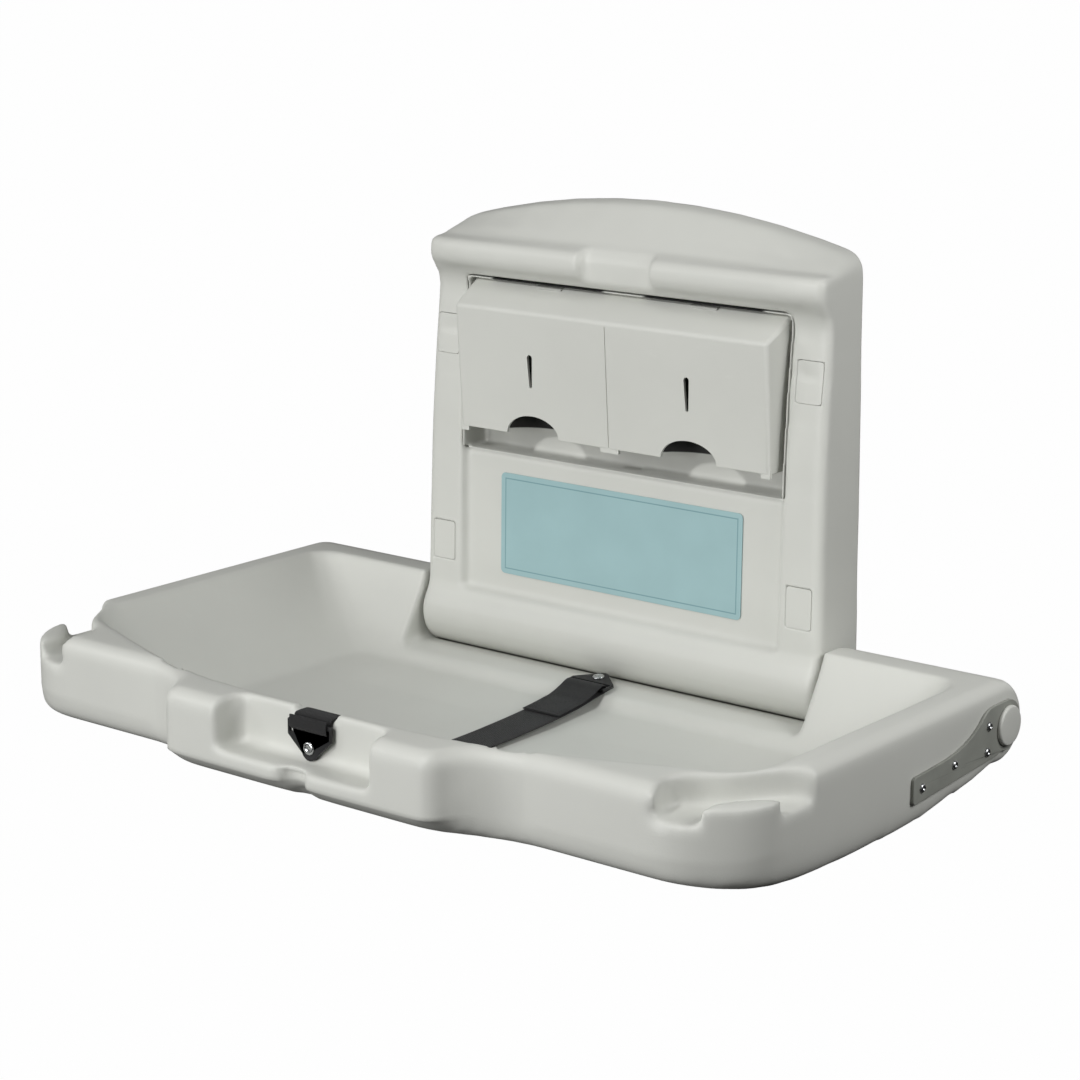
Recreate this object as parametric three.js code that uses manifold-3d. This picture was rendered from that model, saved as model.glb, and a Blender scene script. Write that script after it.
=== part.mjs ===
// A wall-mounted baby changing station with its bed folded down, in millimetres.
// The wall is the plane Y = 0, the front looks along -Y, and Z = 0 is the height of the fold hinge.
import * as THREE from 'three';
import { mergeVertices } from 'three/addons/utils/BufferGeometryUtils.js';
import Module from 'manifold-3d';

const wasm = await Module();
wasm.setup();

// Clearances
const FIT = 0.3;
const RUN = 0.4;

// Fold hinge
const AXIS_Y = -42;
const SHAFT_R = 12.5;
const SHAFT_BORE_R = 10;
const CAP_R = 19;
const CAP_T = 4;
const PLATE_T = 3;
const PLATE_LENGTH = 163;
const BACKING_T = 2.5;
const RIVET_R = 2.5;
const RIVET_HEAD_R = 4.2;
const BUSH_R = 16.5;
const BUSH_LIP_R = 21;
const STOP_HALF = 11;
const DAMPER_HALF = 40;
const DAMPER_R = 20;

// Back unit
const BACK_HALF = 245;
const BACK_WALL = 4;
const BACK_EDGE = 9;
const BACK_TAPER = 0.03;
const BARREL_R = 36.5;
const SKIRT_Z = -56;
const SKIRT_T = 9;
const STOP_X = BACK_HALF - 95;
const POST_W = 49;
const POST_Y = -67;
const CROWN_Z = 442;
const CROWN_R = 900;
const CROWN_CORNER = 15;
const LIP_Y = -74;
const LIP_TOP = CROWN_Z - 49;
const LIP_LOW = LIP_TOP - 23;
const LIP_GAP_HALF = 42;
const LIP_GAP_DEPTH = 10;
const BAY_HALF = BACK_HALF - POST_W;
const BAY_LOW = 168;
const BAY_TOP = LIP_LOW - 13;
const HOPPER_WALL = 2.5;
const HOPPER_BACK = -25;
const LEDGE_Z = BAY_LOW + 10.5;
const RECESS_LOW = 31;
const RECESS_DEPTH = 8;
const RECESS_Y = POST_Y + RECESS_DEPTH;
const LABEL_MARGIN = 47;
const LABEL_T = 0.6;
const PLATE_INSET = 25;
const WALL_PLATE_T = 2.5;
const SCREW_INSET = 25.5;
const SCREW_Z = [78.6, 294.4];
const SCREW_R = 4;
const COVER_W = 28;
const COVER_H = 40;
const COVER_T = 3;

// Liner door
const DOOR_SIDE_GAP = 3;
const DOOR_LEAN = 3;
const DOOR_TOP = BAY_TOP - 3;
const DOOR_RIDGE = DOOR_TOP - 23;
const DOOR_LOW = BAY_LOW + 37;
const DOOR_BACK = POST_Y + 24.5;
const DOOR_RIDGE_Y = POST_Y - 17.5;
const DOOR_LOW_Y = POST_Y - 8;
const DOOR_WALL = 3;
const DOOR_HINGE_W = 31;
const SLOT_X = (BAY_HALF - 5) / 2;

// Bed
const BED_HALF = 430;
const BED_FRONT = -482;
const BED_CORNER = 80;
const BED_TOP = 40;
const BED_BOTTOM = -58;
const BED_EDGE = 13;
const BED_WALL = 4;
const EAR_R = 40;
const EAR_GAP = 2;
const EAR_INNER = BACK_HALF + EAR_GAP;
const NOSE_OUT = 53;
const NOSE_FRONT = BED_FRONT - NOSE_OUT;
const NOSE_HALF = 160;
const RIM_SIDE_W = 32;
const RIM_FRONT_W = 45;
const RIM_REAR_W = 23;
const SIDE_SLOPE = 98;
const FRONT_SLOPE = 60;
const REAR_SLOPE = 54;
const FLOOR_Z = -46;
const THROAT_GAP = 1.5;
const THROAT_R = BARREL_R + THROAT_GAP;
const CURL_T = 5;
const CURL_FROM = THREE.MathUtils.degToRad(236);
const CURL_TO = THREE.MathUtils.degToRad(279);
const HUMP_Y = AXIS_Y - 38;
const HUMP_Z = FLOOR_Z + 15;
const HUMP_RISE = 0.117;
const GRIP_HALF = 91;
const GRIP_BACK = NOSE_FRONT + 33;
const GRIP_LEDGE = BED_TOP - 46;
const THUMB_R = 30;
const THUMB_DEPTH = 7.5;
const NOTCH_HALF = 25;
const NOTCH_Z = BED_TOP - 7;
const HORN_Z = BED_TOP - 13;
const HOOK_FLOOR = BED_TOP - 29;
const PANEL_REAR = AXIS_Y - 134;
const PANEL_FRONT = PANEL_REAR - 160;
const PANEL_HALF = BED_HALF - 21;
const PANEL_T = 3;
const PANEL_LAND = 14;

// Strap and its anchors
const STRAP_HALF = 22;
const STRAP_T = 1.8;
const ANCHOR_T = 3.4;
const ANCHOR_STAND = 3.6;
const ANCHOR_BOSS_R = 8;
const ANCHOR_RIVET_R = 2.5;
const RIVET_GRIP = 3.2;
const FRONT_RIVET_Z = NOTCH_Z - 26;
const REAR_RIVET_Y = HUMP_Y - 8;
const REAR_RIVET_Z = HUMP_Z + (REAR_RIVET_Y - HUMP_Y) * HUMP_RISE;

const X = new THREE.Vector3(1, 0, 0);
const Y = new THREE.Vector3(0, 1, 0);
const Z = new THREE.Vector3(0, 0, 1);
const v2 = (x, y) => new THREE.Vector2(x, y);
const outlineOf = (points) => points.map(([a, b]) => v2(a, b));
const turned = (angle, r) => v2(AXIS_Y + r * Math.cos(angle), r * Math.sin(angle));

// Materials, with the colours of the photograph
const plain = (color, roughness, metalness = 0) =>
  new THREE.MeshStandardMaterial({ color, roughness, metalness });
const greyPlastic = plain(0xcdcec7, 0.5);
const darkSteel = plain(0x696b65, 0.55, 0.4);
const steel = plain(0xa9abad, 0.35, 1);
const blackPlastic = plain(0x1b1b1c, 0.5);
const webbing = plain(0x17171a, 0.9);
const labelFilm = plain(0x96b6bb, 0.45);
const nylon = plain(0xe8e6dc, 0.5);
const rubber = plain(0x262626, 0.8);

// Turns a closed geometry into a solid that can be joined and cut.
function solid(geometry) {
  const bare = new THREE.BufferGeometry();
  const flat = geometry.index ? geometry.toNonIndexed() : geometry;
  bare.setAttribute('position', flat.getAttribute('position'));
  const merged = mergeVertices(bare, 1e-4);
  const index = merged.index.array;
  const kept = [];
  for (let i = 0; i < index.length; i += 3) {
    const [a, b, c] = [index[i], index[i + 1], index[i + 2]];
    if (a !== b && b !== c && c !== a) kept.push(a, b, c);
  }
  return new wasm.Manifold(new wasm.Mesh({
    numProp: 3,
    vertProperties: merged.attributes.position.array,
    triVerts: new Uint32Array(kept),
  }));
}

function geometryOf(shape) {
  const { vertProperties, triVerts } = shape.getMesh();
  const geometry = new THREE.BufferGeometry();
  geometry.setAttribute('position', new THREE.Float32BufferAttribute(vertProperties, 3));
  geometry.setIndex(Array.from(triVerts));
  geometry.computeVertexNormals();
  return geometry;
}

const station = new THREE.Group();
station.name = 'changing_station';

function part(name, shape, material) {
  const mesh = new THREE.Mesh(geometryOf(shape), material);
  mesh.name = name;
  station.add(mesh);
}

// Drops the points of a closed outline that repeat the one before, and turns it anticlockwise.
function tidy(outline) {
  const all = outline instanceof THREE.Shape ? outline.getPoints(12) : outline;
  const points = all.filter((p, i) => p.distanceTo(all[(i + all.length - 1) % all.length]) > 0.02);
  return THREE.ShapeUtils.isClockWise(points) ? points.reverse() : points;
}

// Prisms with rounded ends: alongX takes a (Y, Z) outline, alongY an (X, Z) one, alongZ an (X, Y) one.
function prism(outline, depth, basis, from, edge = 0, grow = 0, segments = 3) {
  const points = tidy(outline);
  const steps = edge > 0 ? segments : 0;
  const low = [];
  for (let i = 0; i <= steps; i += 1) {
    const angle = steps ? (i / steps) * (Math.PI / 2) : Math.PI / 2;
    const inset = edge * (1 - Math.sin(angle));
    low.push([edge * (1 - Math.cos(angle)), grown(points, grow - inset)]);
  }
  const levels = [...low, ...low.slice().reverse().map(([z, shape]) => [depth - z, shape])];
  const geometry = loft(levels.map(([z, shape]) => shape.map((p) => at(p.x, p.y, z))));
  geometry.applyMatrix4(new THREE.Matrix4().makeBasis(...basis).setPosition(from));
  return solid(geometry);
}
const alongX = (outline, low, high, edge, grow, segments) =>
  prism(outline, high - low, [Y, Z, X], new THREE.Vector3(low, 0, 0), edge, grow, segments);
const alongY = (outline, low, high, edge, grow) =>
  prism(outline, high - low, [X, Z, Y.clone().negate()], new THREE.Vector3(0, high, 0), edge, grow);
const alongZ = (outline, low, high, edge, grow, segments) =>
  prism(outline, high - low, [X, Y, Z], new THREE.Vector3(0, 0, low), edge, grow, segments);

function roundedBox(low, high, axis, radius) {
  const [u, v] = axis === 'y' ? ['x', 'z'] : axis === 'z' ? ['x', 'y'] : ['y', 'z'];
  const shape = new THREE.Shape();
  shape.moveTo(low[u] + radius, low[v]);
  shape.lineTo(high[u] - radius, low[v]);
  shape.absarc(high[u] - radius, low[v] + radius, radius, -Math.PI / 2, 0);
  shape.absarc(high[u] - radius, high[v] - radius, radius, 0, Math.PI / 2);
  shape.absarc(low[u] + radius, high[v] - radius, radius, Math.PI / 2, Math.PI);
  shape.absarc(low[u] + radius, low[v] + radius, radius, Math.PI, 1.5 * Math.PI);
  const run = { x: alongX, y: alongY, z: alongZ }[axis];
  return run(new THREE.Shape(shape.getPoints(3)), low[axis], high[axis]);
}

function box(low, high) {
  const geometry = new THREE.BoxGeometry(high.x - low.x, high.y - low.y, high.z - low.z);
  geometry.translate((low.x + high.x) / 2, (low.y + high.y) / 2, (low.z + high.z) / 2);
  return solid(geometry);
}
const at = (x, y, z) => new THREE.Vector3(x, y, z);

// A turned piece: (radius, height) points from the axis to the axis, set along a direction.
function lathe(points, origin, direction, segments = 24) {
  const geometry = new THREE.LatheGeometry(points.map(([r, h]) => v2(r, h)), segments);
  geometry.applyQuaternion(new THREE.Quaternion().setFromUnitVectors(Y, direction));
  geometry.translate(origin.x, origin.y, origin.z);
  return solid(geometry);
}
const rod = (radius, low, high, origin, direction, segments) =>
  lathe([[0, low], [radius, low], [radius, high], [0, high]], origin, direction, segments);
const ring = (outer, inner, low, high, segments = 24) =>
  rod(outer, low, high, at(0, AXIS_Y, 0), X, segments)
    .subtract(rod(inner, low - 1, high + 1, at(0, AXIS_Y, 0), X, segments));
const onAxis = (radius, low, high, segments = 32) =>
  rod(radius, low, high, at(0, AXIS_Y, 0), X, segments);

// Where the anchors sit: X across, Y towards the webbing, Z out of the surface.
const framed = (origin, up, out) =>
  new THREE.Matrix4().makeBasis(up.clone().cross(out), up, out).setPosition(origin);
const FRONT_ANCHOR = framed(at(0, GRIP_BACK, FRONT_RIVET_Z), Z, Y.clone().negate());
const REAR_ANCHOR = framed(at(0, REAR_RIVET_Y, REAR_RIVET_Z),
  at(0, -1, -HUMP_RISE).normalize(), at(0, -HUMP_RISE, 1).normalize());

// A closed skin over rings that all have the same number of points.
function loft(rings, endsFaceX = false) {
  const count = rings[0].length;
  const positions = [];
  const push = (...points) => points.forEach((p) => positions.push(p.x, p.y, p.z));
  for (let k = 0; k + 1 < rings.length; k += 1) {
    for (let i = 0; i < count; i += 1) {
      const j = (i + 1) % count;
      push(rings[k][i], rings[k][j], rings[k + 1][j]);
      push(rings[k][i], rings[k + 1][j], rings[k + 1][i]);
    }
  }
  const cap = (points, flip) => {
    const flat = points.map((p) => (endsFaceX ? v2(p.y, p.z) : v2(p.x, p.y)));
    for (const [a, b, c] of THREE.ShapeUtils.triangulateShape(flat, [])) {
      if (flip) push(points[a], points[c], points[b]);
      else push(points[a], points[b], points[c]);
    }
  };
  cap(rings[0], true);
  cap(rings[rings.length - 1], false);
  const geometry = new THREE.BufferGeometry();
  geometry.setAttribute('position', new THREE.Float32BufferAttribute(positions, 3));
  return geometry;
}

// Moves each point of a closed flat outline outwards by a distance.
function grown(points, distance) {
  const turn = THREE.ShapeUtils.isClockWise(points) ? -1 : 1;
  return points.map((p, i) => {
    const before = points[(i + points.length - 1) % points.length];
    const after = points[(i + 1) % points.length];
    const a = p.clone().sub(before).normalize();
    const b = after.clone().sub(p).normalize();
    const out = v2(a.y + b.y, -a.x - b.x).normalize().multiplyScalar(turn);
    const square = Math.max(0.5, out.dot(v2(a.y, -a.x).multiplyScalar(turn)));
    return p.clone().addScaledVector(out, distance / square);
  });
}
const mirrored = (points) => points.map((p) => v2(-p.x, p.y)).reverse();
const bothSides = (shape) => shape.add(shape.mirror([1, 0, 0]));
const spline = (points, count) =>
  new THREE.SplineCurve(points.map(([a, b]) => v2(a, b))).getPoints(count);

// Bed outline from above, right half from the front centre to the ear, then mirrored.
function bedPlan(fineness) {
  const shape = new THREE.Shape();
  shape.moveTo(0, NOSE_FRONT - 1);
  shape.quadraticCurveTo(NOSE_HALF * 0.5, NOSE_FRONT - 1, NOSE_HALF - 14, NOSE_FRONT + 1);
  shape.quadraticCurveTo(NOSE_HALF - 1, NOSE_FRONT + 2, NOSE_HALF + 3, NOSE_FRONT + 14);
  shape.quadraticCurveTo(NOSE_HALF + 15, BED_FRONT - 7, NOSE_HALF + 62, BED_FRONT);
  shape.lineTo(BED_HALF - BED_CORNER, BED_FRONT);
  const mid = BED_HALF - BED_CORNER;
  shape.absarc(mid, BED_FRONT + BED_CORNER, BED_CORNER, -Math.PI / 2, 0);
  shape.lineTo(BED_HALF, 20);
  const half = shape.getPoints(fineness).slice(1);
  return new THREE.Shape([v2(0, NOSE_FRONT - 1), ...half, ...mirrored(half)]);
}

// Bed section across the hinge: the ear round, the belly underneath, the nose in front.
// The belly is given in shares of the reach to the nose and of the depth below the hinge.
function bedSection() {
  const reach = NOSE_FRONT - AXIS_Y;
  const under = [[1.02, 0.31], [0.994, 0.448], [0.959, 0.595], [0.919, 0.672], [0.874, 0.724], [0.787, 0.82],
    [0.696, 0.931], [0.604, 0.983], [0.503, 1], [0.402, 0.993], [0.31, 0.966], [0.209, 0.905], [0.101, 0.793],
    [0.067, 0.734]].map(([along, down]) => [AXIS_Y + along * reach, down * BED_BOTTOM]);
  const ear = new THREE.EllipseCurve(AXIS_Y, 0, EAR_R, EAR_R, -Math.PI / 2 - 0.3, Math.PI / 2);
  const beyond = NOSE_FRONT - BED_CORNER;
  return [v2(beyond, BED_TOP), v2(beyond, BED_BOTTOM * 0.09), ...spline(under, 26), ...ear.getPoints(16)];
}

function bedBlock(inset) {
  const edge = BED_EDGE - inset;
  const plan = alongZ(bedPlan(inset > 0 ? 4 : 8), BED_BOTTOM - 2 + inset, BED_TOP - inset, edge, -inset);
  const section = alongX(bedSection(), -BED_HALF + inset, BED_HALF - inset, edge, -inset);
  return plan.intersect(section);
}

// The bowl blends from the rim's inner edge to the floor's edge, and widens by grow.
// Both edges run from the front centre to the rear centre, in shares of their half width and length.
const BOWL_HALF = BED_HALF - RIM_SIDE_W;
const BOWL_FRONT = NOSE_FRONT + RIM_FRONT_W;
const BOWL_REAR = AXIS_Y - RIM_REAR_W;
const FLOOR_HALF = BOWL_HALF - SIDE_SLOPE;
const FLOOR_FRONT = BOWL_FRONT + FRONT_SLOPE;
const FLOOR_REAR = BOWL_REAR - REAR_SLOPE;
const RIM_EDGE = [[0, 0], [0.276, 0], [0.402, 0.014], [0.518, 0.038], [0.731, 0.11], [0.884, 0.169],
  [0.957, 0.202], [0.995, 0.264], [1, 0.353], [1, 0.635], [1, 0.918], [0.985, 0.974], [0.935, 1],
  [0.754, 1], [0.377, 1], [0, 1]];
const FLOOR_EDGE = [[0, 0], [0.367, 0], [0.533, 0], [0.687, 0.003], [0.82, 0.025], [0.907, 0.08],
  [0.96, 0.165], [0.99, 0.27], [1, 0.38], [1, 0.679], [1, 0.857], [0.98, 0.95], [0.927, 0.993],
  [0.767, 1], [0.433, 1], [0, 1]];
const WALL_STEPS = [[0, 0], [0.11, 0.07], [0.244, 0.18], [0.415, 0.34], [0.585, 0.5], [0.732, 0.64],
  [0.854, 0.78], [0.939, 0.89], [0.988, 0.97], [1, 1.06]];
const placed = (edge, half, front, rear) => edge.map(([x, y]) => [x * half, front + y * (rear - front)]);
const drop = (share) => BED_TOP - share * (BED_TOP - FLOOR_Z);
function bowl(grow) {
  const count = grow > 0 ? 20 : 30;
  const rim = spline(placed(RIM_EDGE, BOWL_HALF, BOWL_FRONT, BOWL_REAR), count);
  const floor = spline(placed(FLOOR_EDGE, FLOOR_HALF, FLOOR_FRONT, FLOOR_REAR), count);
  const steps = WALL_STEPS.filter((step, i) => grow === 0 || i % 3 === 0);
  const rings = steps.map(([down, share]) => {
    const half = rim.map((p, i) => p.clone().lerp(floor[i], share));
    const whole = [...half, ...mirrored(half).slice(1, -1)];
    return grown(whole, grow).map((p) => at(p.x, p.y, drop(down) - grow));
  });
  const top = rings[0].map((p) => at(p.x, p.y, BED_TOP + 30));
  return solid(loft([...rings.reverse(), top]));
}

// The gap between the ears where the back unit's barrel sits, and the floor's rise towards it.
const HUMP_LINE = [[HUMP_Y, HUMP_Z], [HUMP_Y - 30, HUMP_Z - 30 * HUMP_RISE], [HUMP_Y - 68, FLOOR_Z + 2.5],
  [HUMP_Y - 105, FLOOR_Z]];
function throat(grow) {
  const over = BED_TOP + 30;
  const line = outlineOf([[AXIS_Y - 2, over], [AXIS_Y - 2, -THROAT_R], [HUMP_Y + 18, HUMP_Z - 2],
    ...HUMP_LINE, [HUMP_Y - 105, over]]);
  const reach = EAR_INNER + grow;
  const gap = alongX(line, -reach, reach, 0, grow);
  const back = box(at(-reach, AXIS_Y - 2 - grow, BED_BOTTOM - 30), at(reach, EAR_R + 20, over));
  return gap.add(onAxis(THROAT_R + grow, -reach, reach)).add(back);
}

function grip(grow) {
  const plan = spline([[-GRIP_HALF, NOSE_FRONT - 20], [-GRIP_HALF, GRIP_BACK - 16],
    [-GRIP_HALF + 5, GRIP_BACK - 4], [-GRIP_HALF + 18, GRIP_BACK], [0, GRIP_BACK],
    [GRIP_HALF - 18, GRIP_BACK], [GRIP_HALF - 5, GRIP_BACK - 4], [GRIP_HALF, GRIP_BACK - 16],
    [GRIP_HALF, NOSE_FRONT - 20]], 32);
  const groove = rod(THUMB_R + grow, BED_BOTTOM - 30, BED_TOP,
    at(0, NOSE_FRONT + THUMB_DEPTH - THUMB_R, 0), Z, 32);
  return alongZ(plan.reverse(), GRIP_LEDGE - grow, BED_TOP + 30, 0, grow).add(groove);
}

// A bag hook: a channel round the front corner leaves a lower horn outside it. The sides are placed
// from the corner where the bed's side and front would meet.
const RIM_SIDE = [[-76, -28], [-77, 2], [-83, 30], [-74, 48], [-50, 67], [-31, 95], [-12, 119], [20, 130]];
const HORN_SIDE = [[30, 80], [-2, 77], [-23, 59], [-37, 39], [-39, 16], [-37, -28]];
const OVER_HORN = [[-57, -38], [40, -38], [40, 97], [-2, 95], [-36, 68], [-55, 45]];
function hook(grow) {
  const corner = (points) => points.map(([x, y]) => [BED_HALF + x, BED_FRONT + y]);
  const plan = [...spline(corner(RIM_SIDE), 20), ...spline(corner(HORN_SIDE), 16)];
  const channel = alongZ(plan.reverse(), HOOK_FLOOR - grow, BED_TOP + 30, 0, grow);
  const level = alongZ(outlineOf(corner(OVER_HORN)), HORN_Z - grow, BED_TOP + 30, 0, grow);
  return bothSides(channel.add(level));
}

// Rivet places on a hinge plate, and the plate's own outline, both in (Y, Z) from the hinge.
const PLATE_RIVETS = [[14 - PLATE_LENGTH, -21], [69 - PLATE_LENGTH, -14], [-34, 7], [-36, -17]]
  .map(([y, z]) => [AXIS_Y + y, z]);
function hingePlate(low, high, side, outline) {
  let plate = alongX(outline, low, high);
  plate = plate.subtract(onAxis(SHAFT_R + FIT, low - 2, high + 2, 24));
  for (const [y, z] of PLATE_RIVETS) {
    plate = plate.subtract(rod(RIVET_R + FIT, low - 2, high + 2, at(0, y, z), X, 10));
  }
  return side > 0 ? plate : plate.mirror([1, 0, 0]);
}

function plateOutline() {
  const tip = -PLATE_LENGTH;
  const shape = new THREE.Shape();
  shape.moveTo(tip, -30);
  shape.quadraticCurveTo(tip, -34, tip + 6, -34);
  shape.lineTo(-18, -25);
  shape.absarc(0, 0, SHAFT_R + 11.5, -Math.PI / 2 - 0.3, Math.PI / 2 - 0.1);
  shape.lineTo(-24, 23.5);
  shape.quadraticCurveTo(-38, 23, -46, 14);
  shape.quadraticCurveTo(-70, -5, tip + 45, -7);
  shape.lineTo(tip + 6, -9);
  shape.quadraticCurveTo(tip, -9, tip, -14);
  return new THREE.Shape(shape.getPoints(6).map((p) => v2(p.x + AXIS_Y, p.y)));
}
const BACKING = [[5 - PLATE_LENGTH, -8], [5 - PLATE_LENGTH, -30], [-28, -22], [-22, -22], [-22, 14], [-46, 14],
  [-78, -6]].map(([y, z]) => [AXIS_Y + y, z]);

// Bed
const bores = bothSides(onAxis(SHAFT_R + FIT, EAR_INNER - 5, BED_HALF + 5, 24));
const rivetBores = bothSides(PLATE_RIVETS
  .map(([y, z]) => rod(RIVET_R + FIT, BED_HALF - 12, BED_HALF + 5, at(0, y, z), X, 10))
  .reduce((all, one) => all.add(one)));
const hatch = roundedBox(
  at(-PANEL_HALF + PANEL_LAND, PANEL_FRONT + PANEL_LAND, BED_BOTTOM - 20),
  at(PANEL_HALF - PANEL_LAND, PANEL_REAR - PANEL_LAND, FLOOR_Z - BED_WALL - 1), 'z', 12);
const notch = roundedBox(at(-NOTCH_HALF, GRIP_BACK - 6, NOTCH_Z),
  at(NOTCH_HALF, BOWL_FRONT + 20, BED_TOP + 40), 'y', 4);
const rivetBore = (frame) => solid(geometryOf(rod(ANCHOR_RIVET_R + FIT,
  -RIVET_GRIP - FIT, 9, at(0, 0, 0), Z, 16)).applyMatrix4(frame));

const cuts = (grow) => bowl(grow * 1.4).add(throat(grow)).add(grip(grow)).add(hook(grow));
const hollow = bedBlock(BED_WALL).subtract(cuts(BED_WALL));
// The tray's rear edge curls under the barrel and closes the sight line below it.
const curlEdge = (r) => new THREE.EllipseCurve(AXIS_Y, 0, r, r, CURL_FROM, CURL_TO).getPoints(8);
const curl = alongX([...curlEdge(THROAT_R + CURL_T), ...curlEdge(THROAT_R).reverse()],
  -EAR_INNER - 1, EAR_INNER + 1);
const tray = bedBlock(0).subtract(cuts(0)).subtract(notch)
  .subtract(hollow).add(curl).subtract(hatch).subtract(bores).subtract(rivetBores)
  .subtract(rivetBore(FRONT_ANCHOR)).subtract(rivetBore(REAR_ANCHOR));
part('bed_tray', tray.decompose().sort((a, b) => b.volume() - a.volume())[0], greyPlastic);

const belly = (grow) => alongX(bedSection(), -BED_HALF - grow, BED_HALF + grow, BED_EDGE, grow);
const panelBlock = roundedBox(at(-PANEL_HALF, PANEL_FRONT, BED_BOTTOM - 20),
  at(PANEL_HALF, PANEL_REAR, FLOOR_Z), 'z', 14);
part('bed_underside', belly(PANEL_T + FIT).subtract(belly(FIT)).intersect(panelBlock), greyPlastic);

part('hinge_shaft', ring(SHAFT_R, SHAFT_BORE_R, -BED_HALF - PLATE_T, BED_HALF + PLATE_T), steel);
for (const [name, side] of [['left', -1], ['right', 1]]) {
  const turn = (shape) => (side > 0 ? shape : shape.mirror([1, 0, 0]));
  const face = BED_HALF + FIT;
  part(`hinge_plate_${name}`, hingePlate(face, face + PLATE_T, side, plateOutline()), darkSteel);
  const inside = BED_HALF - BED_WALL - FIT;
  const pad = outlineOf(BACKING).reverse();
  part(`backing_plate_${name}`, hingePlate(inside - BACKING_T, inside, side, pad), steel);
  const outer = face + PLATE_T + FIT / 2;
  const inner = inside - BACKING_T - FIT / 2;
  PLATE_RIVETS.forEach(([y, z], i) => {
    const rivet = lathe([[0, inner - 2], [RIVET_HEAD_R - 0.5, inner - 2], [RIVET_HEAD_R, inner - 1],
      [RIVET_HEAD_R, inner], [RIVET_R, inner], [RIVET_R, outer], [RIVET_HEAD_R, outer],
      [RIVET_HEAD_R - 0.3, outer + 1], [RIVET_HEAD_R * 0.6, outer + 2], [0, outer + 2.3]],
    at(0, y, z), X, 12);
    part(`hinge_rivet_${name}_${i + 1}`, turn(rivet), steel);
  });
  const cap = lathe([[0, BED_HALF - 12], [SHAFT_BORE_R - FIT, BED_HALF - 12],
    [SHAFT_BORE_R - FIT, outer], [CAP_R, outer], [CAP_R, outer + CAP_T - 1.5],
    [CAP_R - 1.5, outer + CAP_T], [0, outer + CAP_T + 0.4]], at(0, AXIS_Y, 0), X, 32);
  part(`axle_cap_${name}`, turn(cap), greyPlastic);
}

// Back unit section at one place along X: barrel, post front, lip, crown. The post's front is given in
// shares of its depth and of the lip's height.
const POST_LINE = [[1, 0.089], [1, 0.135], [0.993, 0.243], [0.978, 0.378], [0.94, 0.581], [0.88, 0.757],
  [0.806, 0.905], [0.8, 0.932], [0.828, 0.957], [0.91, 0.978]];
function backRing(x, wall) {
  const far = Math.abs(x);
  const out = Math.max(0, far - (BACK_HALF - CROWN_CORNER));
  const corner = CROWN_CORNER - Math.sqrt(Math.max(0, CROWN_CORNER ** 2 - out ** 2));
  const crown = CROWN_Z - (x * x) / (2 * CROWN_R) - corner;
  const lip = LIP_Y + 5 * THREE.MathUtils.smoothstep(far, BACK_HALF - 5 * BACK_EDGE, BACK_HALF);
  const mid = (share) => LIP_TOP + (crown - LIP_TOP) * share;
  const points = [v2(0, SKIRT_Z), v2(-SKIRT_T, SKIRT_Z), v2(-SKIRT_T, -BARREL_R)];
  for (let a = 270; a >= 140; a -= 13) points.push(turned(THREE.MathUtils.degToRad(a), BARREL_R));
  points.push(...POST_LINE.map(([y, z]) => v2(y * POST_Y, z * LIP_LOW)));
  points.push(v2(lip + 2.5, LIP_LOW), v2(lip, LIP_LOW + 6), v2(lip, LIP_TOP - 7));
  points.push(v2(lip + 2.5, LIP_TOP - 1), v2(lip + 8, mid(0.04)), v2(lip + 20, mid(0.13)));
  points.push(v2(LIP_Y * 0.54, mid(0.4)), v2(LIP_Y * 0.19, mid(0.92)), v2(0, crown));
  const inner = wall > 0 ? grown(points, -wall) : points;
  const edge = Math.max(0, far - (BACK_HALF - BACK_EDGE)) / BACK_EDGE;
  const rounding = 1 - (BACK_EDGE / -LIP_Y) * (1 - Math.sqrt(Math.max(0, 1 - edge * edge)));
  return inner.map((p, i) => at(x, points[i].x > -1e-6 ? (wall > 0 ? 12 : 0) : p.x * rounding, p.y));
}

// The sides lean in towards the crown.
const STATIONS = [...[0, 0.2, 0.41, 0.61, 0.8, 0.88].map((share) => share * BACK_HALF),
  ...[1.9, 1, 0.5, 0.18, 0].map((share) => BACK_HALF - share * BACK_EDGE)];
function backSolid(wall) {
  const stations = wall > 0 ? STATIONS.filter((x, i) => i % 2 === 0) : STATIONS;
  const both = [...stations.slice(1).reverse().map((x) => -x), ...stations];
  const reach = (BACK_HALF - wall) / BACK_HALF;
  const rings = both.map((x) => backRing(x, wall).map((p) => {
    const narrow = 1 - (BACK_TAPER * Math.max(0, p.z)) / CROWN_Z;
    return at(x * reach * narrow, p.y, p.z);
  }));
  return solid(loft(rings.map((r) => r.reverse()), true));
}

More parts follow.
